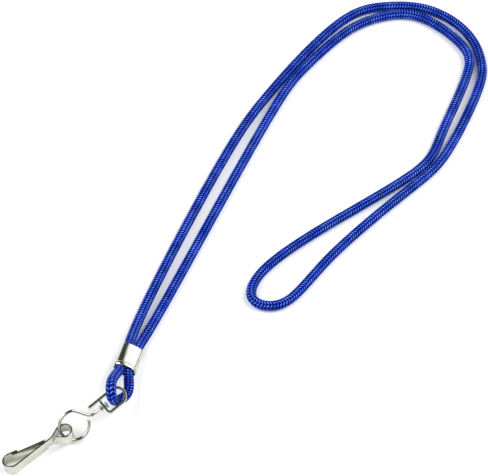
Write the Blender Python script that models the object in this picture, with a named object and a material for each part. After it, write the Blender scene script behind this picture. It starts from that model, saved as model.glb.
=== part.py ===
"""Neck lanyard of round braided cord with a wire swivel hook and a flat spring snap hook.

One length of cord makes the neck loop and, below the crimped ferrule, the short bight that
carries a folded bail. A wire hook turns in the bail's base and a snap hook bent from one strip
of spring steel hangs in the wire hook's ring. The lanyard lies on a table, the plane z = 0,
with the snap hook along X. Lengths are metres unless a name says mm.
"""

import math

import bmesh
import bpy
import numpy as np
from mathutils import Matrix, Vector

MM = 0.001

# Driving dimensions
CORD_DIAMETER = 4.3 * MM
CORD_CRIMPED_DIAMETER = 4.0 * MM  # where the ferrule squeezes it
FERRULE_LENGTH = 13.3 * MM
FERRULE_WALL = 0.5 * MM
WIRE_DIAMETER = 1.4 * MM
RING_RADIUS = 6.45 * MM  # of the wire's centre line
STEM_LENGTH = 15.3 * MM  # from the ring's centre to the bail's base, along the stem
RING_OFFSET = 0.7 * MM  # of the ring's centre from the stem's axis
BAIL_THICKNESS = 1.1 * MM
BAIL_WIDTH = 3.2 * MM
BAIL_INNER_WIDTH = 6.2 * MM
BAIL_INNER_LENGTH = 9.4 * MM
BAIL_TAB_LENGTH = 6.0 * MM  # how far the closing tab runs past the base
STRIP_THICKNESS = 0.8 * MM
STRIP_WIDTH = 4.6 * MM
HOOK_LENGTH = 19.6 * MM  # from the waist to the centre of the bend
HOOK_BEND_RADIUS = 3.55 * MM
HOOK_CONTACT = 178.0  # degrees round the ring to where it passes through the eye
EYE_CENTRE = 5.6 * MM  # from the waist
EYE_RADIUS = 3.4 * MM
NOTCH = 3.9 * MM  # from the waist to where the strip is at full width again
NOTCH_SHOULDER = 0.4 * MM
GATE_ROOT = 3.3 * MM  # from the waist to the joint of the gate and its stub
GAP = 0.3 * MM  # between pieces that touch
SWIVEL_PLAY = 0.42 * MM  # of the stem in the bail's hole

# Where the pieces lie
RING_CENTRE = Vector((-5.79, -7.41, 6.81)) * MM
STEM_DIRECTION = Vector((0.9705, -0.0708, 0.2305))
RING_NORMAL = Vector((-0.2065, -0.7374, 0.6428))
BAIL_FACING = Vector((-0.2411, -0.3112, 0.9192))
BAIL_LEAN = math.radians(4.5)  # of the bail on the stem, within the hole's play
HOOK_WAIST = Vector((-16.29, -7.30, 2.45)) * MM
HOOK_TURN = math.radians(-5.8)
HOOK_PITCH = math.radians(4.6)
HOOK_ROLL = math.radians(-10.0)  # the strip leans with the wire that carries it
FERRULE_MOUTH = Vector((26.77, 2.10, 6.79)) * MM
FERRULE_AXIS = Vector((-0.755, -0.616, 0.223))
FERRULE_ACROSS = Vector((0.532, -0.775, -0.341))

# The cord's route in mm: out of the ferrule, round the neck loop, back through the ferrule,
# round the small bight in the bail and into the ferrule again.
NECK_ROUTE_MM = [
    (50.1, 15.5),
    (170.9, 81.3),
    (194.6, 90.0),
    (221.8, 94.7),
    (240.8, 91.4),
    (254.0, 80.7),
    (258.6, 53.8),
    (250.9, 41.7),
    (217.1, 20.4),
    (196.5, 11.7),
    (109.1, 10.4),
    (94.5, 0.2),
    (98.4, -6.6),
    (107.6, -9.0),
    (136.1, -1.9),
    (190.9, 6.2),
    (211.7, 10.9),
    (247.8, 30.7),
    (258.4, 40.5),
    (264.7, 54.5),
    (264.6, 70.6),
    (257.7, 85.2),
    (244.5, 96.0),
    (226.8, 101.1),
    (173.2, 88.4),
    (129.5, 69.3),
    (44.9, 19.4),
]
BIGHT_ROUTE_MM = [  # in the bail's own frame
    (12.1, 8.1, -4.2),
    (9.3, 6.4, 2.1),
    (6.5, 3.7, 5.6),
    (4.5, 0.9, 4.5),
    (4.3, -0.3, 0.8),
    (5.0, -0.8, -2.7),
    (8.4, -1.4, -5.6),
    (12.4, 0.2, -7.9),
]


def frame(origin, x_axis, z_axis):
    """A matrix that puts local X and Z along two directions; Z is squared to X."""
    x = Vector(x_axis).normalized()
    z = Vector(z_axis)
    z = (z - x * z.dot(x)).normalized()
    y = z.cross(x)
    turn = Matrix((x, y, z)).transposed()
    return Matrix.Translation(origin) @ turn.to_4x4()


def arc(centre, radius, start, end, step=10.0):
    """Points on an arc in the XY plane, from one angle in degrees to another."""
    count = max(2, math.ceil(abs(end - start) / step) + 1)
    angles = np.radians(np.linspace(start, end, count))
    return [
        (centre[0] + radius * math.cos(a), centre[1] + radius * math.sin(a)) for a in angles
    ]


def natural_spline(points, spacing):
    """Positions on the natural cubic spline through some points, about spacing apart."""
    points = np.array(points, float)
    chord = np.linalg.norm(np.diff(points, axis=0), axis=1)
    at = np.concatenate([[0.0], np.cumsum(np.sqrt(chord))])
    step = np.diff(at)
    size = len(points)
    system = np.eye(size)
    slopes = np.zeros_like(points)
    rise = np.diff(points, axis=0) / step[:, None]
    for i in range(1, size - 1):
        system[i, i - 1 : i + 2] = step[i - 1], 2 * (step[i - 1] + step[i]), step[i]
        slopes[i] = 6 * (rise[i] - rise[i - 1])
    bend = np.linalg.solve(system, slopes)
    found = []
    for i in range(size - 1):
        t = np.linspace(0, 1, max(2, int(chord[i] / spacing)), endpoint=i == size - 2)[:, None]
        a, b = 1 - t, t
        curve = ((a**3 - a) * bend[i] + (b**3 - b) * bend[i + 1]) * step[i] ** 2 / 6
        found.append(a * points[i] + b * points[i + 1] + curve)
    return np.concatenate(found)


def even_points(path, straight_step, turn_step, anchors):
    """Points along a fine path, straight_step apart and closer where it bends.

    turn_step is the most, in radians, that the path turns between two points. The path's
    nearest point to each anchor is kept too.
    """
    legs = np.diff(path, axis=0)
    length = np.linalg.norm(legs, axis=1)
    unit = legs / length[:, None]
    turn = np.arccos(np.clip((unit[1:] * unit[:-1]).sum(axis=1), -1, 1))
    cost = length / straight_step
    cost[1:] += turn / turn_step
    total = np.concatenate([[0.0], np.cumsum(cost)])
    nearest = [np.linalg.norm(path - np.array(a), axis=1).argmin() for a in anchors]
    wanted = np.linspace(0, total[-1], math.ceil(total[-1]) + 1)
    wanted = np.union1d(wanted, total[nearest])
    return np.stack([np.interp(wanted, total, path[:, i]) for i in range(3)], axis=1)


def principled(name, colour, roughness, metallic):
    material = bpy.data.materials.new(name)
    material.use_nodes = True
    shader = material.node_tree.nodes["Principled BSDF"]
    shader.inputs["Base Color"].default_value = (*colour, 1.0)
    shader.inputs["Roughness"].default_value = roughness
    shader.inputs["Metallic"].default_value = metallic
    return material


def add_mesh(name, points, faces, material, place, pivot=(0.0, 0.0, 0.0)):
    """An object whose origin is at pivot; pivot and the points are in place's own frame."""
    mesh = bpy.data.meshes.new(name)
    mesh.from_pydata([tuple(Vector(p) - Vector(pivot)) for p in points], [], faces)
    shape = bmesh.new()
    shape.from_mesh(mesh)
    bmesh.ops.recalc_face_normals(shape, faces=shape.faces)
    shape.to_mesh(mesh)
    shape.free()
    mesh.shade_smooth()
    mesh.set_sharp_from_angle(angle=math.radians(35))
    mesh.materials.append(material)
    obj = bpy.data.objects.new(name, mesh)
    obj.matrix_world = place @ Matrix.Translation(pivot)
    bpy.context.scene.collection.objects.link(obj)
    return obj


def joined_rings(rings, closed=False):
    """Faces between rings of the same size, with an end face on each open end."""
    size = len(rings[0])
    count = len(rings)
    faces = []
    for i in range(count if closed else count - 1):
        a, b = i * size, (i + 1) % count * size
        for k in range(size):
            n = (k + 1) % size
            faces.append((a + k, a + n, b + n, b + k))
    if not closed:
        faces.append(tuple(reversed(range(size))))
        faces.append(tuple(range((count - 1) * size, count * size)))
    points = [p for ring in rings for p in ring]
    return points, faces


def strip(path, thickness, z_limits, corner=0.15 * MM):
    """A flat strip that stands on its edge along a path in the XY plane.

    z_limits gives the strip's lower and upper edge at each point of the path.
    """
    path = np.array(path, float)
    legs = np.diff(path, axis=0)
    unit = legs / np.linalg.norm(legs, axis=1)[:, None]
    before = np.vstack([unit[:1], unit])
    after = np.vstack([unit, unit[-1:]])
    side = before + after
    side /= np.linalg.norm(side, axis=1)[:, None]
    stretch = 1 / (side * before).sum(axis=1)
    left = np.stack([-side[:, 1], side[:, 0]], axis=1) * stretch[:, None]
    rings = []
    half = thickness / 2
    for point, out, (low, high) in zip(path, left, z_limits):
        section = [
            (-half, low + corner),
            (-half + corner, low),
            (half - corner, low),
            (half, low + corner),
            (half, high - corner),
            (half - corner, high),
            (-half + corner, high),
            (-half, high - corner),
        ]
        rings.append([(*(point - out * across), z) for across, z in section])
    return joined_rings(rings)


def round_wire(path, radii, sides=12):
    """A round wire along a path in the XY plane, with a radius at each point."""
    path = np.array(path, float)
    legs = np.diff(path, axis=0)
    unit = legs / np.maximum(np.linalg.norm(legs, axis=1), 1e-9)[:, None]
    along = np.vstack([unit[:1], unit[:-1] + unit[1:], unit[-1:]])
    along /= np.linalg.norm(along, axis=1)[:, None]
    rings = []
    for point, (dx, dy), radius in zip(path, along, radii):
        ring = []
        for k in range(sides):
            angle = 2 * math.pi * k / sides
            out, rise = radius * math.cos(angle), radius * math.sin(angle)
            ring.append((point[0] + dy * out, point[1] - dx * out, rise))
        rings.append(ring)
    return joined_rings(rings)


def oval(half_width, half_height, power, sides=40):
    """A rounded outline between an ellipse, power 2, and a rectangle, power 8."""
    found = []
    for k in range(sides):
        angle = 2 * math.pi * (k + 0.5) / sides
        c, s = math.cos(angle), math.sin(angle)
        size = (abs(c) ** power + abs(s) ** power) ** (-1 / power)
        found.append((c * size * half_width, s * size * half_height))
    return found


def make_ferrule(material):
    """A sleeve crimped flat at its upper mouth, with a flared lip at the mouth by the bight.

    Local X runs to the lower mouth at the origin, and Y across the two cords.
    """
    sleeve = [  # distance from the upper mouth, half width, half height, roundness
        (0.0, 4.95, 2.9, 2.8),
        (0.03, 5.0, 2.95, 2.8),
        (0.35, 5.0, 3.0, 2.7),
        (0.7, 5.0, 3.1, 2.5),
        (0.93, 5.05, 3.2, 2.4),
        (1.0, 5.25, 3.35, 2.3),
    ]
    outer, inner = [], []
    for share, width, height, power in sleeve:
        x = (share - 1) * FERRULE_LENGTH
        across = oval(width * MM, height * MM, power)
        wall = FERRULE_WALL
        within = oval(width * MM - wall, height * MM - wall, power)
        outer.append([(x, y, z) for y, z in across])
        inner.append([(x, y, z) for y, z in within])
    points, faces = joined_rings(outer + inner[::-1], closed=True)
    place = frame(FERRULE_MOUTH, FERRULE_AXIS, FERRULE_AXIS.cross(FERRULE_ACROSS) * -1)
    return add_mesh("ferrule", points, faces, material, place)


def ferrule_lines():
    """The ferrule's axis, its upper mouth, and the step across to one of its two cords."""
    axis = FERRULE_AXIS.normalized()
    upper = FERRULE_MOUTH - axis * FERRULE_LENGTH
    return axis, upper, FERRULE_ACROSS.normalized() * (CORD_CRIMPED_DIAMETER + GAP) / 2


def cord_route():
    """The cord's centre line as a fine path, whose two ends meet in the ferrule."""
    axis, upper, across = ferrule_lines()
    middle = FERRULE_MOUTH - axis * FERRULE_LENGTH / 2
    ends_apart = axis * GAP / 2
    route = [middle + across - ends_apart, upper + across, upper + across - axis * 3 * MM]
    route += [Vector((x, y, CORD_DIAMETER / MM / 2)) * MM for x, y in NECK_ROUTE_MM]
    route += [upper - across - axis * 3 * MM, upper - across, FERRULE_MOUTH - across]
    route += [bail_frame() @ (Vector(point) * MM) for point in BIGHT_ROUTE_MM]
    route += [FERRULE_MOUTH + across, middle + across + ends_apart]
    path = natural_spline(route, 0.5 * MM)
    path[:, 2] = np.maximum(path[:, 2], CORD_DIAMETER / 2)
    return path


def make_cord(material):
    """One tube from the ferrule round the neck loop, the ferrule and the bight."""
    axis, upper, across = ferrule_lines()
    mouths = [upper + across, upper - across, FERRULE_MOUTH + across, FERRULE_MOUTH - across]
    points = even_points(cord_route(), 22 * MM, math.radians(30), mouths)
    curve = bpy.data.curves.new("lanyard_cord", "CURVE")
    curve.dimensions = "3D"
    curve.bevel_depth = CORD_DIAMETER / 2
    curve.bevel_resolution = 3
    curve.use_fill_caps = True
    line = curve.splines.new("POLY")
    line.points.add(len(points) - 1)
    for point, place in zip(line.points, points):
        inside = (Vector(place) - FERRULE_MOUTH).dot(axis)
        off_axis = (Vector(place) - FERRULE_MOUTH - axis * inside).length
        crimped = off_axis < CORD_DIAMETER and -FERRULE_LENGTH - 5 * MM < inside < 2.5 * MM
        point.co = (*place, 1.0)
        point.radius = CORD_CRIMPED_DIAMETER / CORD_DIAMETER if crimped else 1.0
    curve.materials.append(material)
    obj = bpy.data.objects.new("lanyard_cord", curve)
    bpy.context.scene.collection.objects.link(obj)
    return obj


def wire_frame():
    """Origin on the stem's axis beside the ring's centre, X along the stem, Z the ring's axis."""
    place = frame(RING_CENTRE, STEM_DIRECTION, RING_NORMAL)
    return place @ Matrix.Translation((0.0, -RING_OFFSET, 0.0))


def bail_frame():
    """Origin on the inner face of the bail's base, X along the stem towards the arch."""
    origin = wire_frame() @ Vector((STEM_LENGTH, 0.0, 0.0))
    return frame(origin, STEM_DIRECTION, BAIL_FACING) @ Matrix.Rotation(BAIL_LEAN, 4, "Z")


def bail_pivot():
    """Where the cord's centre passes through the bail, in the bail's frame."""
    return Vector((4.7, 0.1, 0.0)) * MM


def make_bail(material):
    """A strap bent into a closed loop, whose last leg runs on past the base as a tab."""
    half = BAIL_THICKNESS / 2
    leg = BAIL_INNER_WIDTH / 2 + half
    arch = BAIL_INNER_LENGTH + half - leg
    corner = 1.0 * MM
    path = [(-half, leg - half - 0.1 * MM)]
    path += arc((corner - half, corner - leg), corner, 180, 270, 22.5)
    path += arc((arch, 0), leg, -90, 90, 12)
    path += [(-BAIL_TAB_LENGTH, leg)]
    limits = [(-BAIL_WIDTH / 2, BAIL_WIDTH / 2)] * len(path)
    points, faces = strip(path, BAIL_THICKNESS, limits)
    place = bail_frame()
    bail = add_mesh("swivel_bail", points, faces, material, place, bail_pivot())
    hole_radius = WIRE_DIAMETER / 2 + SWIVEL_PLAY
    cutter_points, cutter_faces = round_wire(
        [(-3 * BAIL_THICKNESS, 0), (BAIL_THICKNESS, 0)], [hole_radius] * 2, 24
    )
    cutter = add_mesh("stem_hole_cutter", cutter_points, cutter_faces, material, place)
    cutter.hide_render = True
    cutter.display_type = "WIRE"
    cut = bail.modifiers.new("stem_hole", "BOOLEAN")
    cut.object = cutter
    return bail


def make_wire_hook(material):
    """A straight stem with a formed head and collar, bent into an open ring."""
    radius = WIRE_DIAMETER / 2
    head_in = STEM_LENGTH + SWIVEL_PLAY
    head_out = head_in + 0.9 * MM
    collar_out = STEM_LENGTH - BAIL_THICKNESS - SWIVEL_PLAY
    collar_in = collar_out - 0.8 * MM
    profile = [
        (head_out, 1.1 * MM),
        (head_out - 0.25 * MM, 1.5 * MM),
        (head_in, 1.5 * MM),
        (head_in - 0.02 * MM, radius),
        (collar_out + 0.02 * MM, radius),
        (collar_out, 1.35 * MM),
        (collar_in, 1.35 * MM),
        (collar_in - 0.3 * MM, radius),
    ]
    path = [(x, 0.0) for x, _ in profile]
    radii = [r for _, r in profile]
    start = Vector((9.0 * MM, 0.0))
    join_angle = 68.0
    ring = (0.0, RING_OFFSET)
    join = Vector(arc(ring, RING_RADIUS, join_angle, join_angle + 1)[0])
    along = Vector((math.sin(math.radians(join_angle)), -math.cos(math.radians(join_angle))))
    first_handle = start - Vector((2.4 * MM, 0.0))
    second_handle = join + along * 2.6 * MM
    steps = 9
    for i in range(steps):
        t = i / steps
        a = 1 - t
        place = start * a**3 + first_handle * 3 * a * a * t
        place += second_handle * 3 * a * t * t + join * t**3
        path.append(tuple(place))
    path += arc(ring, RING_RADIUS, join_angle, 347, 9)
    radii += [radius] * (len(path) - len(radii))
    points, faces = round_wire(path, radii)
    return add_mesh("wire_hook", points, faces, material, wire_frame())


def hook_frame():
    """Origin at the foot of the waist, X towards the eye, Z along the strip's width."""
    turn = Matrix.Rotation(HOOK_TURN, 4, "Z") @ Matrix.Rotation(-HOOK_PITCH, 4, "Y")
    return Matrix.Translation(HOOK_WAIST) @ turn @ Matrix.Rotation(HOOK_ROLL, 4, "X")


def hook_angles():
    """The angles off the X axis, in degrees, of the body and of the gate."""
    body = math.degrees(math.asin(HOOK_BEND_RADIUS / HOOK_LENGTH))
    lapped = HOOK_BEND_RADIUS - STRIP_THICKNESS - GAP
    gate = math.degrees(math.asin(lapped / HOOK_LENGTH))
    return body, gate


def hook_pivot():
    """Where the ring's wire passes through the eye, in the hook's frame."""
    angle = math.radians(HOOK_CONTACT)
    on_ring = (RING_RADIUS * math.cos(angle), RING_RADIUS * math.sin(angle) + RING_OFFSET, 0.0)
    return hook_frame().inverted() @ (wire_frame() @ Vector(on_ring))


def make_snap_hook(material):
    """The hook, its bend and its eye, one strip that crosses itself at the waist."""
    body, gate = hook_angles()
    bend = (-HOOK_LENGTH, 0.0)
    nose_from = arc(bend, HOOK_BEND_RADIUS, 90 - gate, 91 - gate)[0]
    nose_length = 4.0 * MM
    along = (math.cos(math.radians(-gate)), math.sin(math.radians(-gate)))
    nose_end = (nose_from[0] + nose_length * along[0], nose_from[1] + nose_length * along[1])
    path = [nose_end]
    path += arc(bend, HOOK_BEND_RADIUS, 90 - gate, 270 + body)
    cos_body, sin_body = math.cos(math.radians(body)), math.sin(math.radians(body))
    for back in (NOTCH + NOTCH_SHOULDER, NOTCH):
        path.append((-back * cos_body, -back * sin_body))
    upper_from = len(path) - 1
    path.append((0.0, 0.0))
    flank = math.degrees(math.asin(EYE_RADIUS / EYE_CENTRE))
    cos_flank, sin_flank = math.cos(math.radians(flank)), math.sin(math.radians(flank))
    eye_notch = 1.2 * MM
    for out in (eye_notch, eye_notch + NOTCH_SHOULDER):
        path.append((out * cos_flank, out * sin_flank))
    upper_to = len(path) - 1
    path += arc((EYE_CENTRE, 0.0), EYE_RADIUS, 90 + flank, -90 - flank)
    for out in (eye_notch + NOTCH_SHOULDER, eye_notch):
        path.append((out * cos_flank, -out * sin_flank))
    lower_from = len(path) - 1
    path.append((0.0, 0.0))
    cos_gate, sin_gate = math.cos(math.radians(gate)), math.sin(math.radians(gate))
    path.append((-GATE_ROOT * cos_gate, GATE_ROOT * sin_gate))
    middle = STRIP_WIDTH / 2
    limits = []
    for i in range(len(path)):
        if upper_from <= i < upper_to:
            limits.append((middle + GAP / 2, STRIP_WIDTH))
        elif i >= lower_from:
            limits.append((0.0, middle - GAP / 2))
        else:
            limits.append((0.0, STRIP_WIDTH))
    points, faces = strip(path, STRIP_THICKNESS, limits)
    return add_mesh("snap_hook", points, faces, material, hook_frame(), hook_pivot())


def make_gate(material):
    """The strip's free end, which springs into the hook from its root at the waist."""
    _, gate = hook_angles()
    root = GATE_ROOT + GAP
    cos_gate, sin_gate = math.cos(math.radians(gate)), math.sin(math.radians(gate))
    gate_length = HOOK_LENGTH * cos_gate - 1.2 * MM
    distances = [root, NOTCH, NOTCH + NOTCH_SHOULDER, gate_length]
    middle = STRIP_WIDTH / 2
    low = (0.0, middle - GAP / 2)
    full = (0.0, STRIP_WIDTH)
    path = [((root - d) * cos_gate, (d - root) * sin_gate) for d in distances]
    points, faces = strip(path, STRIP_THICKNESS, [low, low, full, full])
    root_place = Matrix.Translation((-root * cos_gate, root * sin_gate, 0.0))
    return add_mesh("snap_hook_gate", points, faces, material, hook_frame() @ root_place)


def main():
    for obj in list(bpy.data.objects):
        bpy.data.objects.remove(obj)
    cord = principled("blue_nylon_cord", (0.01, 0.03, 0.35), 0.45, 0.0)
    nickel = principled("nickel_plate", (0.72, 0.71, 0.68), 0.2, 1.0)
    make_cord(cord)
    make_ferrule(nickel)
    make_bail(nickel)
    make_wire_hook(nickel)
    make_snap_hook(nickel)
    make_gate(nickel)


main()
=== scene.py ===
"""The looks of the neck lanyard: a braided nylon cord and bright nickel hardware on a pale table.

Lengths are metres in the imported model's own frame, with the table at z = 0. Each metal piece is
made again around its CAD node with rounded edges, and the cord is one braided tube.
"""

import math

import bmesh
import bpy
import numpy as np
from mathutils import Matrix, Vector


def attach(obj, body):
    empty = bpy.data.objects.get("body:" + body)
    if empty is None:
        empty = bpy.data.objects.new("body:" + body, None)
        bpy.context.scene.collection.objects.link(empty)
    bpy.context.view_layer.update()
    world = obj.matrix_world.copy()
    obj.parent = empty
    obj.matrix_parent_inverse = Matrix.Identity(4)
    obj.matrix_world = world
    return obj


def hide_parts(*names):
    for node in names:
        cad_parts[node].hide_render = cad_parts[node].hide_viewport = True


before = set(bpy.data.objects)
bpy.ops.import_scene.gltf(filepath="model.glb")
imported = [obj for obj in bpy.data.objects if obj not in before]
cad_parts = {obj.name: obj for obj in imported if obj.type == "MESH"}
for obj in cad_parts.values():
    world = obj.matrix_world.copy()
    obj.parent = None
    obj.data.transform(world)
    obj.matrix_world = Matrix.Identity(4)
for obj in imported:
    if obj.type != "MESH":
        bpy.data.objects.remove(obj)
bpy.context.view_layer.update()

MM = 0.001

# Camera: a long lens that looks down on the table
VIEW_TARGET = Vector((0.1120, 0.0303, 0.0))
VIEW_DISTANCE = 1.1566
VIEW_ELEVATION = math.radians(55.0)
VIEW_HEADING = Vector((0.6018, 0.7986, 0.0))
LENS_MM = 191.7
SENSOR_MM = 36.0

# Sizes that the looks share with the CAD
CORD_DIAMETER = 4.3 * MM
CORD_CRIMPED_DIAMETER = 4.0 * MM
CORD_GAP = 0.3 * MM
FERRULE_LENGTH = 13.3 * MM
WIRE_RADIUS = 0.7 * MM
RING_RADIUS = 6.45 * MM
RING_OFFSET = 0.7 * MM
STEM_LENGTH = 15.3 * MM
SWIVEL_PLAY = 0.42 * MM
BAIL_THICKNESS = 1.1 * MM
BAIL_WIDTH = 3.2 * MM
BAIL_INNER_WIDTH = 6.2 * MM
BAIL_INNER_LENGTH = 9.4 * MM
BAIL_TAB_LENGTH = 6.0 * MM
BAIL_BEND_RADIUS = 1.0 * MM
BAIL_CORNER = 0.13 * MM
BAIL_END_ROUND = 0.2 * MM
STRIP_THICKNESS = 0.8 * MM
STRIP_WIDTH = 4.6 * MM
STRIP_CORNER = 0.14 * MM
HOOK_LENGTH = 19.6 * MM
HOOK_BEND_RADIUS = 3.55 * MM
EYE_CENTRE = 5.6 * MM
EYE_RADIUS = 3.4 * MM
HALF_GAP = 0.15 * MM
HOOK_NOSE = 4.0 * MM  # of strip past the bend, under the gate's tip
GATE_ROOT = 3.3 * MM  # from the waist to the joint of the gate and its stub
GATE_TIP_GAP = 1.2 * MM
NOTCH = 2.75 * MM  # from the waist to where the strip is full width again, on the hook's side
EYE_NOTCH = 1.2 * MM  # and on the eye's side
SHOULDER = 0.4 * MM

# Where the pieces lie
RING_CENTRE = Vector((-5.79, -7.41, 6.81)) * MM
STEM_DIRECTION = Vector((0.9705, -0.0708, 0.2305))
RING_NORMAL = Vector((-0.2065, -0.7374, 0.6428))
BAIL_FACING = Vector((-0.2411, -0.3112, 0.9192))
BAIL_LEAN = math.radians(4.5)
HOOK_WAIST = Vector((-16.29, -7.30, 2.45)) * MM
HOOK_TURN = math.radians(-5.8)
HOOK_PITCH = math.radians(4.6)
HOOK_ROLL = math.radians(-10.0)
FERRULE_MOUTH = Vector((26.77, 2.10, 6.79)) * MM
FERRULE_AXIS = Vector((-0.755, -0.616, 0.223)).normalized()
FERRULE_ACROSS = Vector((0.532, -0.775, -0.341)).normalized()

# The cord's route on the table, and its small bight in the bail's own frame
NECK_ROUTE = [
    (0.0501, 0.0155), (0.1709, 0.0813), (0.1946, 0.0900), (0.2218, 0.0947), (0.2408, 0.0914),
    (0.2540, 0.0807), (0.2586, 0.0538), (0.2509, 0.0417), (0.2171, 0.0204), (0.1965, 0.0117),
    (0.1091, 0.0104), (0.0945, 0.0002), (0.0984, -0.0066), (0.1076, -0.0090), (0.1361, -0.0019),
    (0.1909, 0.0062), (0.2117, 0.0109), (0.2478, 0.0307), (0.2584, 0.0405), (0.2647, 0.0545),
    (0.2646, 0.0706), (0.2577, 0.0852), (0.2445, 0.0960), (0.2268, 0.1011), (0.1732, 0.0884),
    (0.1295, 0.0693), (0.0449, 0.0194),
]
BIGHT_ROUTE = [
    (0.0121, 0.0081, -0.0042), (0.0093, 0.0064, 0.0021), (0.0065, 0.0037, 0.0056),
    (0.0045, 0.0009, 0.0045), (0.0043, -0.0003, 0.0008), (0.0050, -0.0008, -0.0027),
    (0.0084, -0.0014, -0.0056), (0.0124, 0.0002, -0.0079),
]

# The braid
BRAID_COLUMNS = 8
BRAID_PITCH = 1.30 * MM  # of the stitches along the cord
RINGS_PER_STITCH = 4
POINTS_PER_COLUMN = 4
BRAID_SLANT = 0.8  # how far a stitch runs along the cord across its column, in pitches
CROWN_HEIGHT = 0.23  # mm, of the middle of a column over its edges
STITCH_HEIGHT = 0.08  # mm, how far a stitch rises above the crown and its gaps fall below
BRAID_SINK = 0.15  # mm, how far a column's edges lie inside the cord's own radius


# ---------------------------------------------------------------- frames and paths


def frame_at(origin, x_axis, z_axis):
    """A matrix that puts local X and Z along two directions; Z is squared to X."""
    x = Vector(x_axis).normalized()
    z = Vector(z_axis)
    z = (z - x * z.dot(x)).normalized()
    turn = Matrix((x, z.cross(x), z)).transposed()
    return Matrix.Translation(origin) @ turn.to_4x4()


def wire_frame():
    """Origin on the stem's axis beside the ring's centre, X along the stem."""
    place = frame_at(RING_CENTRE, STEM_DIRECTION, RING_NORMAL)
    return place @ Matrix.Translation((0.0, -RING_OFFSET, 0.0))


def bail_frame():
    """Origin on the inner face of the bail's base, X towards the arch."""
    origin = wire_frame() @ Vector((STEM_LENGTH, 0.0, 0.0))
    return frame_at(origin, STEM_DIRECTION, BAIL_FACING) @ Matrix.Rotation(BAIL_LEAN, 4, "Z")


def hook_frame():
    """Origin at the foot of the waist, X towards the eye, Z along the strip's width."""
    turn = Matrix.Rotation(HOOK_TURN, 4, "Z") @ Matrix.Rotation(-HOOK_PITCH, 4, "Y")
    return Matrix.Translation(HOOK_WAIST) @ turn @ Matrix.Rotation(HOOK_ROLL, 4, "X")


def ferrule_frame():
    """Origin at the mouth by the bight, X out of that mouth, Y across the two cords."""
    return frame_at(FERRULE_MOUTH, FERRULE_AXIS, FERRULE_AXIS.cross(FERRULE_ACROSS) * -1)


def arc(centre, radius, start, end, step=3.0):
    """Points on an arc in the XY plane, from one angle in degrees to another."""
    count = max(2, math.ceil(abs(end - start) / step) + 1)
    angles = np.radians(np.linspace(start, end, count))
    return [
        (centre[0] + radius * math.cos(a), centre[1] + radius * math.sin(a)) for a in angles
    ]


def natural_spline(points, spacing):
    """Positions on the natural cubic spline through some points."""
    points = np.array(points, float)
    chord = np.linalg.norm(np.diff(points, axis=0), axis=1)
    step = np.sqrt(chord)
    size = len(points)
    system = np.eye(size)
    slopes = np.zeros_like(points)
    rise = np.diff(points, axis=0) / step[:, None]
    for i in range(1, size - 1):
        system[i, i - 1 : i + 2] = step[i - 1], 2 * (step[i - 1] + step[i]), step[i]
        slopes[i] = 6 * (rise[i] - rise[i - 1])
    bend = np.linalg.solve(system, slopes)
    found = []
    for i in range(size - 1):
        t = np.linspace(0, 1, max(2, int(chord[i] / spacing)), endpoint=i == size - 2)[:, None]
        a, b = 1 - t, t
        curve = ((a**3 - a) * bend[i] + (b**3 - b) * bend[i + 1]) * step[i] ** 2 / 6
        found.append(a * points[i] + b * points[i + 1] + curve)
    return np.concatenate(found)


def distances(path):
    """How far each point of a path lies from its start, along the path."""
    return np.concatenate([[0.0], np.cumsum(np.linalg.norm(np.diff(path, axis=0), axis=1))])


def even_path(path, step):
    """The same path with its points one step apart."""
    path = np.array(path, float)
    at = distances(path)
    wanted = np.linspace(0, at[-1], max(2, round(at[-1] / step) + 1))
    return np.stack([np.interp(wanted, at, column) for column in path.T], axis=1)


def softened(path, reach):
    """The path with each point averaged over its neighbours, and the ends kept."""
    weights = np.hanning(2 * reach + 3)[1:-1]
    weights /= weights.sum()
    padded = np.pad(path, ((reach, reach), (0, 0)), mode="reflect", reflect_type="odd")
    return np.stack([np.convolve(column, weights, mode="valid") for column in padded.T], axis=1)


def smooth_step(value, start, end):
    """0 before start, 1 after end, and an even rise between them."""
    t = np.clip((value - start) / (end - start), 0, 1)
    return t * t * (3 - 2 * t)


def directions(path):
    """Unit vectors along a path, one at each of its points."""
    along = np.gradient(path, axis=0)
    return along / np.linalg.norm(along, axis=1)[:, None]


# ---------------------------------------------------------------- meshes


def add_piece(name, points, faces, material, place=None, sharp_degrees=40):
    """A smooth-shaded mesh whose origin is at place, with its faces pointing out."""
    mesh = bpy.data.meshes.new(name)
    mesh.from_pydata([tuple(p) for p in points], [], faces)
    shape = bmesh.new()
    shape.from_mesh(mesh)
    bmesh.ops.recalc_face_normals(shape, faces=shape.faces)
    shape.to_mesh(mesh)
    shape.free()
    mesh.shade_smooth()
    mesh.set_sharp_from_angle(angle=math.radians(sharp_degrees))
    mesh.materials.append(material)
    obj = bpy.data.objects.new(name, mesh)
    if place is not None:
        obj.matrix_world = place
    bpy.context.scene.collection.objects.link(obj)
    return obj


def joined_rings(rings, closed=False):
    """Faces between rings of the same size, with an end face on each open end."""
    size = len(rings[0])
    count = len(rings)
    faces = []
    for i in range(count if closed else count - 1):
        a, b = i * size, (i + 1) % count * size
        for k in range(size):
            n = (k + 1) % size
            faces.append((a + k, a + n, b + n, b + k))
    if not closed:
        faces.append(tuple(reversed(range(size))))
        faces.append(tuple(range((count - 1) * size, count * size)))
    return [p for ring in rings for p in ring], faces


def rounded_section(thickness, low, high, corner, steps=4):
    """(across, z) points round a rectangle with rounded corners."""
    reach = thickness / 2 - corner
    centres = [
        (-reach, low + corner, 180),
        (reach, low + corner, 270),
        (reach, high - corner, 0),
        (-reach, high - corner, 90),
    ]
    found = []
    for across, z, start in centres:
        found += arc((across, z), corner, start, start + 90, 90 / steps)
    return found


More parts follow.
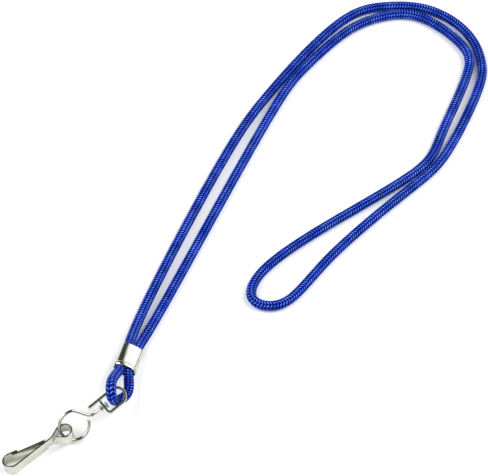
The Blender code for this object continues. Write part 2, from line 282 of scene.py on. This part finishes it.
def strip_rings(path, thickness, low, high, corner, end_round):
    """Rings of a strip that stands on edge along a path in the XY plane, with rounded ends."""
    along = directions(path)
    at = distances(path)
    stations = []
    for i in range(len(path)):
        if end_round * 1.05 < at[i] < at[-1] - end_round * 1.05:
            stations.append((path[i], along[i], low[i], high[i], 0.0))
    turns = np.radians([0, 25, 50, 70, 85])
    start, end = [], []
    for angle in turns:
        inset = end_round * (1 - math.cos(angle))
        back = end_round * (1 - math.sin(angle))
        start.insert(0, (path[0] + along[0] * back, along[0], low[0], high[0], inset))
        end.append((path[-1] - along[-1] * back, along[-1], low[-1], high[-1], inset))
    rings = []
    for place, way, z_low, z_high, inset in start + stations + end:
        bevel = max(corner - inset, 0.03 * MM)
        section = rounded_section(thickness - 2 * inset, z_low + inset, z_high - inset, bevel)
        rings.append([(place[0] + way[1] * u, place[1] - way[0] * u, z) for u, z in section])
    return rings


def wire_rings(path, radii, sides=24):
    """Rings of a round wire along a path in the XY plane."""
    rings = []
    for place, way, radius in zip(path, directions(path), radii):
        ring = []
        for k in range(sides):
            angle = 2 * math.pi * k / sides
            out = radius * math.cos(angle)
            z = radius * math.sin(angle)
            ring.append((place[0] + way[1] * out, place[1] - way[0] * out, z))
        rings.append(ring)
    return rings


# ---------------------------------------------------------------- materials


class Nodes:
    """Short calls for building one material's node tree."""

    def __init__(self, name):
        self.material = bpy.data.materials.new(name)
        self.material.use_nodes = True
        self.tree = self.material.node_tree
        self.shader = self.tree.nodes["Principled BSDF"]

    def add(self, kind, **settings):
        node = self.tree.nodes.new(kind)
        for key, value in settings.items():
            setattr(node, key, value)
        return node

    def link(self, source, target):
        if isinstance(source, bpy.types.NodeSocket):
            self.tree.links.new(source, target)
        else:
            target.default_value = source

    def math(self, operation, *values, clamp=False):
        node = self.add("ShaderNodeMath", operation=operation, use_clamp=clamp)
        for value, socket in zip(values, node.inputs):
            self.link(value, socket)
        return node.outputs[0]

    def noise(self, vector, scale, detail=3.0, roughness=0.55):
        node = self.add("ShaderNodeTexNoise")
        self.link(vector, node.inputs["Vector"])
        node.inputs["Scale"].default_value = scale
        node.inputs["Detail"].default_value = detail
        node.inputs["Roughness"].default_value = roughness
        return node.outputs["Fac"]

    def stretched(self, vector, scale):
        node = self.add("ShaderNodeMapping")
        self.link(vector, node.inputs["Vector"])
        node.inputs["Scale"].default_value = scale
        return node.outputs["Vector"]

    def ramp(self, value, *stops):
        node = self.add("ShaderNodeValToRGB")
        self.link(value, node.inputs["Fac"])
        elements = node.color_ramp.elements
        while len(elements) < len(stops):
            elements.new(0.5)
        for element, (position, colour) in zip(elements, stops):
            element.position = position
            element.color = (*colour, 1.0)
        return node.outputs["Color"]

    def between(self, value, low, high):
        node = self.add("ShaderNodeMapRange")
        self.link(value, node.inputs["Value"])
        node.inputs["To Min"].default_value = low
        node.inputs["To Max"].default_value = high
        return node.outputs["Result"]

    def bump(self, height, distance, strength, normal=None):
        node = self.add("ShaderNodeBump")
        self.link(height, node.inputs["Height"])
        node.inputs["Distance"].default_value = distance
        node.inputs["Strength"].default_value = strength
        if normal is not None:
            self.link(normal, node.inputs["Normal"])
        return node.outputs["Normal"]


def nylon_material():
    """Royal blue braided nylon: slanted stitches in columns, each of many fine filaments."""
    n = Nodes("blue_nylon_braid")
    uv = n.add("ShaderNodeUVMap", uv_map="braid").outputs["UV"]
    split = n.add("ShaderNodeSeparateXYZ")
    n.link(uv, split.inputs[0])
    column, along = split.outputs["X"], split.outputs["Y"]
    whole = n.math("ROUND", column)
    across = n.math("SUBTRACT", column, whole)
    odd = n.math("PINGPONG", whole, 1.0)
    lean = n.math("MULTIPLY_ADD", odd, -2.0, 1.0)
    slant = n.math("MULTIPLY", n.math("MULTIPLY", across, lean), BRAID_SLANT)
    stitch = n.math("SUBTRACT", along, slant)
    wave = n.math("COSINE", n.math("MULTIPLY", stitch, 2 * math.pi))
    ridge = n.math("MULTIPLY_ADD", wave, 0.5, 0.5)
    # Painted shade: the height falls towards each column's edges, where the columns meet, and the
    # colour below follows it as well as the bump
    edge = n.math("POWER", n.math("MULTIPLY", n.math("ABSOLUTE", across), 2.0), 3.0)
    height = n.math("MULTIPLY", ridge, n.math("SUBTRACT", 1.0, n.math("MULTIPLY", edge, 0.75)))

    yarn = n.add("ShaderNodeCombineXYZ")
    n.link(n.math("MULTIPLY", stitch, 9.0), yarn.inputs[0])
    n.link(n.math("MULTIPLY", across, 1.6), yarn.inputs[1])
    n.link(n.math("MULTIPLY", whole, 7.3), yarn.inputs[2])
    filament = n.noise(yarn.outputs[0], 1.0, 2.0)

    place = n.add("ShaderNodeTexCoord").outputs["Object"]
    # The large patches vary the tone at random and also paint zones of brighter highlight on the
    # stitches
    patch = n.noise(place, 160.0, 2.0)
    # Painted light and shade: the colour is lightest on the stitch crests, a painted highlight, and
    # darkest in the gaps between stitches, painted shade
    shade = n.math("MULTIPLY_ADD", filament, 0.35, n.math("MULTIPLY", height, 0.95))
    shade = n.math("MULTIPLY_ADD", patch, 0.45, n.math("SUBTRACT", shade, 0.46), clamp=True)
    # The ramp's top stop is the colour of a painted highlight
    colour = n.ramp(
        shade,
        (0.0, (0.0001, 0.001, 0.03)),
        (0.25, (0.0002, 0.004, 0.13)),
        (0.5, (0.0005, 0.020, 0.36)),
        (0.72, (0.008, 0.08, 0.70)),
        (1.0, (0.32, 0.48, 1.0)),
    )
    n.link(colour, n.shader.inputs["Base Color"])
    n.link(n.between(filament, 0.35, 0.55), n.shader.inputs["Roughness"])
    n.shader.inputs["Specular IOR Level"].default_value = 0.05
    n.shader.inputs["Specular Tint"].default_value = (0.5, 0.65, 1.0, 1.0)
    coarse = n.bump(height, 0.12 * MM, 0.8)
    n.link(n.bump(filament, 0.05 * MM, 0.6, coarse), n.shader.inputs["Normal"])
    return n.material


def nickel_material(name, drawn, roughness=(0.10, 0.22), tint=(0.55, 0.56, 0.485)):
    """Bright nickel plate with fine drawing marks along one direction and faint stains."""
    n = Nodes(name)
    place = n.add("ShaderNodeTexCoord").outputs["Object"]
    marks = n.noise(n.stretched(place, drawn), 1000.0, 4.0, 0.6)
    cloud = n.noise(place, 260.0, 3.0)
    stain = n.noise(place, 900.0, 2.0)
    colour = n.ramp(
        cloud,
        (0.3, tuple(c * 0.84 for c in tint)),
        (0.55, tint),
        (0.75, tuple(min(1.0, c * 1.1) for c in tint)),
    )
    n.link(colour, n.shader.inputs["Base Color"])
    n.shader.inputs["Metallic"].default_value = 1.0
    mixed = n.math("MULTIPLY_ADD", marks, 0.5, n.math("MULTIPLY", stain, 0.5))
    n.link(n.between(mixed, *roughness), n.shader.inputs["Roughness"])
    waves = n.bump(cloud, 0.02 * MM, 0.25)
    n.link(n.bump(marks, 0.004 * MM, 0.35, waves), n.shader.inputs["Normal"])
    return n.material


# ---------------------------------------------------------------- the cord


def cord_path():
    """The cord's centre line, evenly spaced, from the ferrule all the way round and back."""
    across = FERRULE_ACROSS * (CORD_CRIMPED_DIAMETER + CORD_GAP) / 2
    axis = FERRULE_AXIS
    upper = FERRULE_MOUTH - axis * FERRULE_LENGTH
    middle = FERRULE_MOUTH - axis * FERRULE_LENGTH / 2
    lead = axis * 3 * MM
    apart = axis * CORD_GAP / 2
    route = [middle + across - apart, upper + across, upper + across - lead]
    route += [Vector((x, y, CORD_DIAMETER / 2)) for x, y in NECK_ROUTE]
    route += [upper - across - lead, upper - across, FERRULE_MOUTH - across]
    route += [bail_frame() @ Vector(point) for point in BIGHT_ROUTE]
    route += [FERRULE_MOUTH + across, middle + across + apart]
    path = natural_spline(route, 0.3 * MM)
    path[:, 2] = np.maximum(path[:, 2], CORD_DIAMETER / 2)
    return even_path(softened(even_path(path, 0.3 * MM), 5), BRAID_PITCH / RINGS_PER_STITCH)


def cord_radii(path):
    """The radius at each point, less where the ferrule squeezes the cord."""
    offset = path - np.array(FERRULE_MOUTH)
    inside = offset @ np.array(FERRULE_AXIS)
    off_axis = np.linalg.norm(offset - np.outer(inside, FERRULE_AXIS), axis=1)
    near = (off_axis < CORD_DIAMETER) & (np.abs(inside + FERRULE_LENGTH / 2) < 2 * FERRULE_LENGTH)
    past = np.maximum(inside, -FERRULE_LENGTH - inside)
    eased = smooth_step(past, 0.5 * MM, 4.5 * MM)
    slim = CORD_CRIMPED_DIAMETER / 2
    full = CORD_DIAMETER / 2
    return np.where(near, slim + (full - slim) * eased, full)


def sideways_vectors(along):
    """Unit vectors square to a path that don't twist round it."""
    side = np.empty_like(along)
    start = np.cross(along[0], (0.0, 0.0, 1.0))
    side[0] = start / np.linalg.norm(start)
    for i in range(1, len(along)):
        turned = side[i - 1] - along[i] * (side[i - 1] @ along[i])
        side[i] = turned / np.linalg.norm(turned)
    return side


def braid_points(path):
    """Points round each place on the path, raised into columns of slanted stitches."""
    radii = cord_radii(path)
    along = directions(path)
    side = sideways_vectors(along)
    other = np.cross(along, side)
    sides = POINTS_PER_COLUMN * BRAID_COLUMNS
    ring = np.arange(sides)
    angle = 2 * np.pi * ring / sides
    phase = np.arange(len(path)) / RINGS_PER_STITCH
    column = ring / POINTS_PER_COLUMN
    across = column - np.round(column)
    lean = np.where(np.round(column) % 2 == 0, 1.0, -1.0)
    wave = np.cos(2 * np.pi * (phase[:, None] - (across * lean * BRAID_SLANT)[None, :]))
    crown = np.cos(np.pi * across)[None, :]
    stitch = (crown * (CROWN_HEIGHT + STITCH_HEIGHT * wave) - BRAID_SINK) * MM
    radius = radii[:, None] + stitch * (radii / radii.max())[:, None]
    points = path[:, None, :] + radius[:, :, None] * (
        np.cos(angle)[None, :, None] * side[:, None, :]
        + np.sin(angle)[None, :, None] * other[:, None, :]
    )
    points[:, :, 2] = np.maximum(points[:, :, 2], 0.0)
    return points


def tube_quads(rings, sides):
    """The faces between the rings of a tube, as rows of four point numbers."""
    ring = np.arange(sides)
    start = (np.arange(rings - 1) * sides)[:, None] + ring[None, :]
    following = (np.arange(rings - 1) * sides)[:, None] + ((ring + 1) % sides)[None, :]
    return np.stack([start, following, following + sides, start + sides], axis=-1).reshape(-1, 4)


def map_braid(cord, quad_count, sides):
    """A UV map that counts columns round the cord and stitches along it."""
    uv = cord.data.uv_layers.new(name="braid")
    loops = np.array([loop.vertex_index for loop in cord.data.loops])
    u = (loops % sides) / POINTS_PER_COLUMN
    v = (loops // sides) / RINGS_PER_STITCH
    quad_u = u[: 4 * quad_count].reshape(-1, 4)
    wraps = quad_u.max(axis=1) - quad_u.min(axis=1) > BRAID_COLUMNS / 2
    quad_u[wraps] = np.where(quad_u[wraps] < 1, quad_u[wraps] + BRAID_COLUMNS, quad_u[wraps])
    uv.data.foreach_set("uv", np.stack([u, v], axis=1).astype(np.float32).ravel())


def make_cord(material):
    """A braided tube, closed at both of its hidden ends."""
    path = cord_path()
    points = braid_points(path)
    rings, sides = points.shape[:2]
    quads = tube_quads(rings, sides)
    faces = [tuple(q) for q in quads.tolist()]
    faces.append(tuple(reversed(range(sides))))
    faces.append(tuple(range((rings - 1) * sides, rings * sides)))
    cord = add_piece("braided_cord", points.reshape(-1, 3), faces, material, sharp_degrees=80)
    map_braid(cord, len(quads), sides)
    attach(cord, "lanyard")
    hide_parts("lanyard_cord")


# ---------------------------------------------------------------- the hardware


def oval(half_width, half_height, power, sides=96):
    """A rounded outline between an ellipse, power 2, and a rectangle, power 8."""
    found = []
    for k in range(sides):
        angle = 2 * math.pi * (k + 0.5) / sides
        c, s = math.cos(angle), math.sin(angle)
        size = (abs(c) ** power + abs(s) ** power) ** (-1 / power)
        found.append((c * size * half_width, s * size * half_height))
    return found


# The ferrule from its upper mouth, share 0, to its lower one: half sizes in mm, and squareness
SLEEVE_SHARES = [0.0, 0.35, 0.7, 0.93, 1.0]
SLEEVE_WIDTHS = [5.0, 5.0, 5.0, 5.05, 5.22]
SLEEVE_HEIGHTS = [2.95, 3.0, 3.1, 3.18, 3.32]
SLEEVE_POWERS = [2.8, 2.7, 2.5, 2.4, 2.3]
SLEEVE_WALL = 0.5  # mm
SEAM_ANGLE = 208.0
SEAM_HALF_WIDTH = 4.0
SEAM_DEPTH = 0.28  # mm


def sleeve_ring(x, inset, seam=False):
    """One ring round the ferrule at x, inset mm in from its plain outer surface."""
    share = 1 + x / FERRULE_LENGTH
    width = np.interp(share, SLEEVE_SHARES, SLEEVE_WIDTHS) - inset
    height = np.interp(share, SLEEVE_SHARES, SLEEVE_HEIGHTS) - inset
    section = oval(width * MM, height * MM, np.interp(share, SLEEVE_SHARES, SLEEVE_POWERS))
    ring = []
    for k, (y, z) in enumerate(section):
        off_seam = abs(360.0 * (k + 0.5) / len(section) - SEAM_ANGLE)
        depth = SEAM_DEPTH * max(0.0, 1 - off_seam / SEAM_HALF_WIDTH) if seam else 0.0
        ring.append((x, y * (1 - depth / width), z * (1 - depth / width)))
    return ring


def lip_inset(from_mouth):
    """A rolled lip, in mm: the sleeve swells near its lower mouth and turns in at the end."""
    swell = 0.22 * (1 - smooth_step(from_mouth, 1.1, 2.2))
    turn_in = 0.6 * max(0.0, 1 - from_mouth / 1.1) ** 2
    return turn_in - swell


def make_ferrule(material):
    """A sleeve squeezed at its upper mouth, with a rolled lip at the other and one long seam."""
    rim = SLEEVE_WALL / 2
    length = FERRULE_LENGTH / MM
    rings = []
    for from_mouth in np.concatenate([np.linspace(length - rim, 2.4, 18), np.linspace(2.2, 0, 15)]):
        rings.append(sleeve_ring(-from_mouth * MM, lip_inset(from_mouth), seam=True))
    for from_mouth in np.linspace(0.05, length - rim, 20):
        rings.append(sleeve_ring(-from_mouth * MM, SLEEVE_WALL))
    for angle in range(160, 0, -20):
        turn = math.radians(angle)
        x = (rim - rim * math.sin(turn)) * MM - FERRULE_LENGTH
        rings.append(sleeve_ring(x, rim * (1 - math.cos(turn))))
    points, faces = joined_rings(rings, closed=True)
    piece = add_piece("crimped_ferrule", points, faces, material, ferrule_frame())
    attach(piece, "lanyard")
    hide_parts("ferrule")


def make_bail(material):
    """A strap bent into a closed loop, whose last leg runs on past the base as a tab."""
    half = BAIL_THICKNESS / 2
    leg = BAIL_INNER_WIDTH / 2 + half
    arch = BAIL_INNER_LENGTH + half - leg
    bend = BAIL_BEND_RADIUS
    path = [(-half, leg - half - 0.1 * MM)]
    path += arc((bend - half, bend - leg), bend, 180, 270)
    path += arc((arch, 0), leg, -90, 90)
    path += [(-BAIL_TAB_LENGTH, leg)]
    path = even_path(path, 0.25 * MM)
    low = np.full(len(path), -BAIL_WIDTH / 2)
    rings = strip_rings(path, BAIL_THICKNESS, low, -low, BAIL_CORNER, BAIL_END_ROUND)
    points, faces = joined_rings(rings)
    piece = add_piece("folded_bail", points, faces, material, bail_frame())
    hole = [(-3 * BAIL_THICKNESS, 0.0), (BAIL_THICKNESS, 0.0)]
    radius = WIRE_RADIUS + SWIVEL_PLAY
    points, faces = joined_rings(wire_rings(np.array(hole), [radius, radius], 40))
    cutter = add_piece("hole_cutter", points, faces, material, bail_frame())
    cut = piece.modifiers.new("hole", "BOOLEAN")
    cut.object = cutter
    graph = bpy.context.evaluated_depsgraph_get()
    piece.data = bpy.data.meshes.new_from_object(piece.evaluated_get(graph))
    piece.modifiers.clear()
    bpy.data.objects.remove(cutter)
    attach(piece, "bail")
    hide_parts("swivel_bail")


def head_profile():
    """The stem's (x, radius in mm) stations, through the formed head and the collar."""
    head_in = STEM_LENGTH + SWIVEL_PLAY
    head_out = head_in + 0.9 * MM
    collar_out = STEM_LENGTH - BAIL_THICKNESS - SWIVEL_PLAY
    collar_in = collar_out - 0.8 * MM
    return [
        (head_out, 0.05),
        (head_out - 0.01 * MM, 0.6),
        (head_out - 0.08 * MM, 1.05),
        (head_out - 0.25 * MM, 1.38),
        (head_out - 0.45 * MM, 1.5),
        (head_in + 0.12 * MM, 1.47),
        (head_in, 1.35),
        (head_in - 0.01 * MM, 0.75),
        (head_in - 0.06 * MM, 0.7),
        (collar_out + 0.06 * MM, 0.7),
        (collar_out + 0.01 * MM, 0.78),
        (collar_out, 1.2),
        (collar_out - 0.1 * MM, 1.33),
        (collar_in + 0.25 * MM, 1.33),
        (collar_in + 0.05 * MM, 1.15),
        (collar_in - 0.15 * MM, 0.82),
        (collar_in - 0.35 * MM, 0.7),
    ]


def stem_bend(join_angle, steps=30):
    """Points where the stem swings over into the ring, up to join_angle on the ring."""
    start = Vector((9.0 * MM, 0.0))
    join = Vector(arc((0.0, RING_OFFSET), RING_RADIUS, join_angle, join_angle + 1)[0])
    lean = math.radians(join_angle)
    first_handle = start - Vector((2.4 * MM, 0.0))
    second_handle = join + Vector((math.sin(lean), -math.cos(lean))) * 2.6 * MM
    bend = []
    for i in range(steps):
        t = i / steps
        a = 1 - t
        place = start * a**3 + first_handle * 3 * a * a * t
        bend.append(tuple(place + second_handle * 3 * a * t * t + join * t**3))
    return bend


def make_wire_hook(material):
    """A straight stem with a formed head and collar, bent into an open ring."""
    profile = head_profile()
    join_angle = 68.0
    end_angle = 347
    bend = stem_bend(join_angle)
    stem = [(x, 0.0) for x, _ in profile]
    ring_path = arc((0.0, RING_OFFSET), RING_RADIUS, join_angle, end_angle, 2.5)
    path = np.array(stem + bend + ring_path)
    radii = np.array([r * MM for _, r in profile] + [WIRE_RADIUS] * (len(path) - len(profile)))
    to_end = distances(path)[-1] - distances(path)
    radii *= np.where(to_end < 0.3 * MM, 0.7 + to_end / MM, 1.0)
    points, faces = joined_rings(wire_rings(path, radii))
    piece = add_piece("wire_ring_hook", points, faces, material, wire_frame())
    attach(piece, "ring")
    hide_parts("wire_hook")


def hook_angles():
    """The angles off the X axis, in radians, of the hook's body and of its gate."""
    body = math.asin(HOOK_BEND_RADIUS / HOOK_LENGTH)
    gate = math.asin((HOOK_BEND_RADIUS - STRIP_THICKNESS - 2 * HALF_GAP) / HOOK_LENGTH)
    return body, gate



def snap_hook_path():
    """From the nose round the bend, up the body, round the eye and back to the gate's root."""
    body, gate = hook_angles()
    bend = (-HOOK_LENGTH, 0.0)
    degrees = math.degrees(gate)
    tangent = arc(bend, HOOK_BEND_RADIUS, 90 - degrees, 91 - degrees)[0]
    path = [(tangent[0] + HOOK_NOSE * math.cos(gate), tangent[1] - HOOK_NOSE * math.sin(gate))]
    path += arc(bend, HOOK_BEND_RADIUS, 90 - degrees, 270 + math.degrees(body))
    path += [(0.0, 0.0)]
    flank = math.degrees(math.asin(EYE_RADIUS / EYE_CENTRE))
    path += arc((EYE_CENTRE, 0.0), EYE_RADIUS, 90 + flank, -90 - flank)
    path += [(0.0, 0.0)]
    path += [(-GATE_ROOT * math.cos(gate), GATE_ROOT * math.sin(gate))]
    return softened(even_path(path, 0.2 * MM), 3)


def snap_hook_edges(path):
    """The strip's lower and upper edges, which share its width where it crosses itself."""
    at = distances(path)
    from_waist = np.linalg.norm(path, axis=1)
    before_eye = at < at[np.argmax(path[:, 0])]
    hook_side = path[:, 0] < 0
    notch = np.where(hook_side, NOTCH, EYE_NOTCH)
    full = smooth_step(from_waist, notch, notch + SHOULDER)
    middle = STRIP_WIDTH / 2
    narrow_low = np.where(before_eye, middle + HALF_GAP, 0.0)
    narrow_high = np.where(before_eye, STRIP_WIDTH, middle - HALF_GAP)
    low = narrow_low * (1 - full)
    return low, narrow_high + (STRIP_WIDTH - narrow_high) * full


def make_snap_hook(material):
    """The hook, its bend and its eye: one strip that crosses itself at half width."""
    path = snap_hook_path()
    low, high = snap_hook_edges(path)
    rings = strip_rings(path, STRIP_THICKNESS, low, high, STRIP_CORNER, STRIP_CORNER)
    points, faces = joined_rings(rings)
    piece = add_piece("spring_snap_hook", points, faces, material, hook_frame())
    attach(piece, "hook")
    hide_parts("snap_hook")


def make_gate(material):
    """The strip's free end, which springs into the hook from its root at the waist."""
    _, gate = hook_angles()
    root = GATE_ROOT + 0.05 * MM
    end = HOOK_LENGTH * math.cos(gate) - GATE_TIP_GAP
    path = [(-d * math.cos(gate), d * math.sin(gate)) for d in (root, end)]
    path = even_path(path, 0.2 * MM)
    full = smooth_step(np.linalg.norm(path, axis=1), NOTCH, NOTCH + SHOULDER)
    narrow = STRIP_WIDTH / 2 - HALF_GAP
    high = narrow + (STRIP_WIDTH - narrow) * full
    rings = strip_rings(path, STRIP_THICKNESS, 0 * high, high, STRIP_CORNER, STRIP_CORNER)
    points, faces = joined_rings(rings)
    piece = add_piece("sprung_gate", points, faces, material, hook_frame())
    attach(piece, "gate")
    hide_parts("snap_hook_gate")


# ---------------------------------------------------------------- the studio


SOFTBOX_DISTANCE = 1.7
SOFTBOX_SIZE = 1.2
SOFTBOX_WATTS = 21.0


def make_camera():
    """A long lens on the table, placed by the view's target, heading and elevation."""
    data = bpy.data.cameras.new("camera")
    data.lens = LENS_MM
    data.sensor_width = SENSOR_MM
    data.clip_start = 0.05
    data.clip_end = 20.0
    camera = bpy.data.objects.new("camera", data)
    back = Vector((0, 0, math.sin(VIEW_ELEVATION))) - VIEW_HEADING * math.cos(VIEW_ELEVATION)
    camera.location = VIEW_TARGET + back * VIEW_DISTANCE
    camera.rotation_mode = "QUATERNION"
    camera.rotation_quaternion = (-back).to_track_quat("-Z", "Y")
    bpy.context.scene.collection.objects.link(camera)
    bpy.context.scene.camera = camera


def make_floor():
    """A matt near-white table just under the lowest point of the lanyard."""
    size = 6.0
    mesh = bpy.data.meshes.new("floor")
    corners = [(-size, -size, 0), (size, -size, 0), (size, size, 0), (-size, size, 0)]
    mesh.from_pydata(corners, [], [(0, 1, 2, 3)])
    n = Nodes("pale_table")
    n.shader.inputs["Base Color"].default_value = (0.93, 0.93, 0.93, 1.0)
    n.shader.inputs["Roughness"].default_value = 0.9
    n.shader.inputs["Specular IOR Level"].default_value = 0.1
    mesh.materials.append(n.material)
    floor = bpy.data.objects.new("floor", mesh)
    floor.location.z = -0.05 * MM
    bpy.context.scene.collection.objects.link(floor)


def add_softbox(name, direction):
    """A square light that faces the lanyard from one direction."""
    data = bpy.data.lights.new(name, "AREA")
    data.shape = "SQUARE"
    data.size = SOFTBOX_SIZE
    data.energy = SOFTBOX_WATTS
    lamp = bpy.data.objects.new(name, data)
    way = Vector(direction).normalized()
    lamp.location = VIEW_TARGET + way * SOFTBOX_DISTANCE
    lamp.rotation_mode = "QUATERNION"
    lamp.rotation_quaternion = way.to_track_quat("Z", "Y")
    bpy.context.scene.collection.objects.link(lamp)


# Softboxes painted on the studio's walls: direction, half width in degrees, soft edge, strength
WALL_PANELS = [
    ((0.90, 0.10, 0.42), 10.0, 24.0, 2.1),  # to the right, past the hardware
    ((-0.62, -0.45, 0.62), 21.0, 8.0, 1.9),  # to the left, on the camera's side
    ((0.55, -0.72, 0.42), 13.0, 8.0, 1.5),  # low on the near right
]


def make_world():
    """A dim studio with bright panels, so that nickel shows both dark lines and highlights."""
    world = bpy.data.worlds.new("studio")
    bpy.context.scene.world = world
    world.use_nodes = True
    tree = world.node_tree
    background = tree.nodes["Background"]
    way = tree.nodes.new("ShaderNodeTexCoord").outputs["Generated"]
    split = tree.nodes.new("ShaderNodeSeparateXYZ")
    tree.links.new(way, split.inputs[0])
    ramp = tree.nodes.new("ShaderNodeValToRGB")
    tree.links.new(split.outputs["Z"], ramp.inputs["Fac"])
    stops = [(0.0, 0.25), (0.12, 0.09), (0.45, 0.08), (0.7, 0.05), (1.0, 0.08)]
    while len(ramp.color_ramp.elements) < len(stops):
        ramp.color_ramp.elements.new(0.5)
    for element, (position, grey) in zip(ramp.color_ramp.elements, stops):
        element.position = position
        element.color = (grey, grey * 1.04, grey * 0.98, 1.0)
    total = ramp.outputs["Color"]
    for direction, half_width, edge, strength in WALL_PANELS:
        dot = tree.nodes.new("ShaderNodeVectorMath")
        dot.operation = "DOT_PRODUCT"
        tree.links.new(way, dot.inputs[0])
        dot.inputs[1].default_value = Vector(direction).normalized()
        fade = tree.nodes.new("ShaderNodeMapRange")
        fade.interpolation_type = "SMOOTHSTEP"
        tree.links.new(dot.outputs["Value"], fade.inputs["Value"])
        fade.inputs["From Min"].default_value = math.cos(math.radians(half_width + edge))
        fade.inputs["From Max"].default_value = math.cos(math.radians(half_width))
        fade.inputs["To Max"].default_value = strength
        add = tree.nodes.new("ShaderNodeVectorMath")
        add.operation = "ADD"
        tree.links.new(total, add.inputs[0])
        tree.links.new(fade.outputs["Result"], add.inputs[1])
        total = add.outputs["Vector"]
    tree.links.new(total, background.inputs["Color"])


def main():
    bpy.context.scene.view_settings.view_transform = "Standard"
    make_camera()
    make_cord(nylon_material())
    make_ferrule(nickel_material("nickel_sleeve", (1.0, 12.0, 12.0)))
    make_bail(nickel_material("nickel_strap", (1.0, 1.0, 8.0)))
    # The wire's nickel is darker than the other pieces' to paint shade into its reflections, which
    # darkens its outlines
    make_wire_hook(
        nickel_material("nickel_wire", (2.0, 2.0, 6.0), (0.08, 0.18), (0.46, 0.47, 0.41))
    )
    strip = nickel_material("nickel_strip", (1.0, 1.0, 9.0))
    make_snap_hook(strip)
    make_gate(strip)
    make_floor()
    make_world()
    add_softbox("right", (0.8, -0.6, 1.3))
    add_softbox("left", (-0.8, 0.6, 1.15))


main()
bpy.context.view_layer.update()
